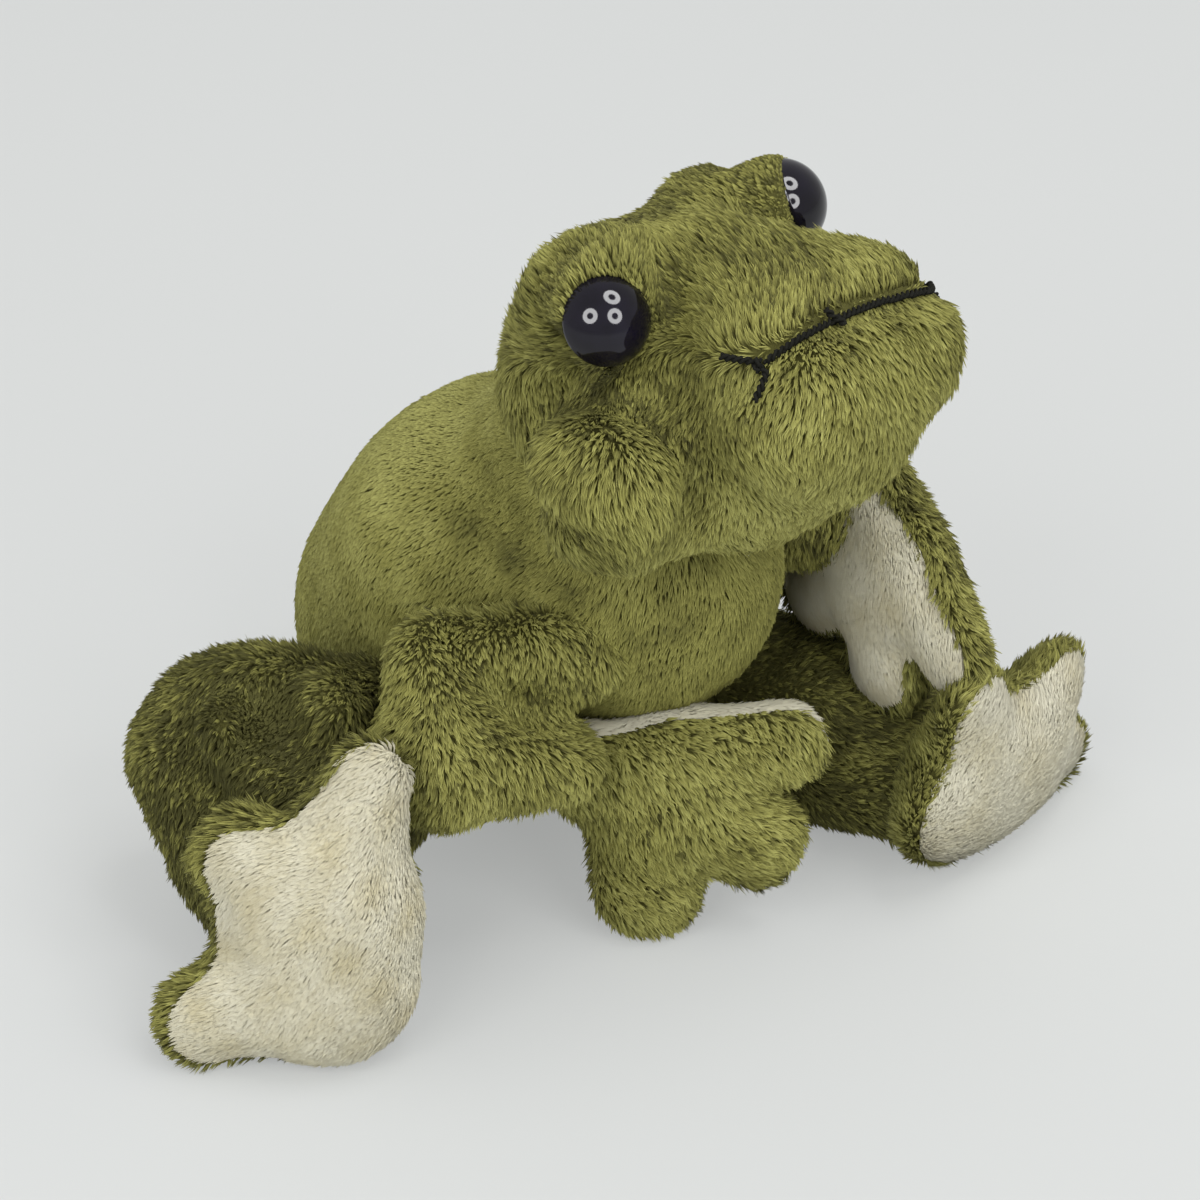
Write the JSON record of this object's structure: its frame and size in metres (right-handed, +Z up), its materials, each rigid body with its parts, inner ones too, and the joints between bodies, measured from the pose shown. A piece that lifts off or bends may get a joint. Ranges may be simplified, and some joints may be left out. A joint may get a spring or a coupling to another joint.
{
  "type": "plush frog",
  "caption": "Seated plush frog with a stuffed body and head, glossy domed eyes, a stitched mouth, folded limbs and webbed hands and feet with pale palms and soles.",
  "frame": {"origin": "the middle of the flat underside of the seat, on the surface that the frog sits on", "axes": "+Z up, -Y the way the frog faces, -X its right side"},
  "size_m": [0.1679, 0.1237, 0.1279],
  "materials": {
    "olive_plush": "short pile plush",
    "cream_plush": "short pile plush",
    "eye_black": "polished",
    "mouth_thread": "twisted thread",
    "fibre_fill": "loose polyester fibre",
    "bean_cloth": "woven pouch",
    "washer_plastic": "moulded"
  },
  "bodies": {
    "body": {"body_cover": "olive_plush", "body_stuffing": "fibre_fill", "seat_bean_bag": "bean_cloth"},
    "head": {"head_cover": "olive_plush", "head_stuffing": "fibre_fill", "mouth_thread": "mouth_thread", "eye_right": "eye_black", "eye_washer_right": "washer_plastic", "mouth_corner_thread_right": "mouth_thread", "eye_left": "eye_black", "eye_washer_left": "washer_plastic", "mouth_corner_thread_left": "mouth_thread"},
    "arm_right": {"arm_cover_right": "olive_plush", "arm_stuffing_right": "fibre_fill"},
    "hand_right": {"hand_cover_right": "olive_plush", "palm_panel_right": "cream_plush", "hand_stuffing_right": "fibre_fill"},
    "leg_right": {"leg_cover_right": "olive_plush", "leg_stuffing_right": "fibre_fill"},
    "foot_right": {"foot_cover_right": "olive_plush", "sole_panel_right": "cream_plush", "foot_stuffing_right": "fibre_fill"},
    "arm_left": {"arm_cover_left": "olive_plush", "arm_stuffing_left": "fibre_fill"},
    "hand_left": {"hand_cover_left": "olive_plush", "palm_panel_left": "cream_plush", "hand_stuffing_left": "fibre_fill"},
    "leg_left": {"leg_cover_left": "olive_plush", "leg_stuffing_left": "fibre_fill"},
    "foot_left": {"foot_cover_left": "olive_plush", "sole_panel_left": "cream_plush", "foot_stuffing_left": "fibre_fill"}
  },
  "joints": [
    {"name": "neck_seam", "type": "hinge", "parent": "body", "child": "head", "pos_m": [0, -0.04066, 0.08206], "axis": [0, -0.5, 0.866], "range_deg": [-20, 20]},
    {"name": "shoulder_seam_right", "type": "hinge", "parent": "body", "child": "arm_right", "pos_m": [-0.02006, -0.05018, 0.05461], "axis": [-1, 0, 0], "range_deg": [0, 20]},
    {"name": "wrist_seam_right", "type": "hinge", "parent": "arm_right", "child": "hand_right", "pos_m": [-0.02081, -0.04684, 0.0318], "axis": [0.289, -0.0506, 0.956], "range_deg": [-12, 12]},
    {"name": "hip_seam_right", "type": "hinge", "parent": "body", "child": "leg_right", "pos_m": [-0.04065, -0.02235, 0.03273], "axis": [0, 0, -1], "range_deg": [0, 15]},
    {"name": "ankle_seam_right", "type": "hinge", "parent": "leg_right", "child": "foot_right", "pos_m": [-0.07104, -0.04074, 0.0062], "axis": [0.7071, -0.7071, 0], "range_deg": [0, 20]},
    {"name": "shoulder_seam_left", "type": "hinge", "parent": "body", "child": "arm_left", "pos_m": [0.02766, -0.03357, 0.0547], "axis": [-1, 0, 0], "range_deg": [0, 20]},
    {"name": "wrist_seam_left", "type": "hinge", "parent": "arm_left", "child": "hand_left", "pos_m": [0.03939, -0.05782, 0.06818], "axis": [-0.0924, -0.8439, 0.5285], "range_deg": [-12, 12]},
    {"name": "hip_seam_left", "type": "hinge", "parent": "body", "child": "leg_left", "pos_m": [0.02957, -0.02921, 0.01751], "axis": [0, 0, 1], "range_deg": [0, 15]},
    {"name": "ankle_seam_left", "type": "hinge", "parent": "leg_left", "child": "foot_left", "pos_m": [0.02781, -0.08034, 0.02237], "axis": [-0.1163, 0.165, -0.9794], "range_deg": [0, 20]}
  ]
}
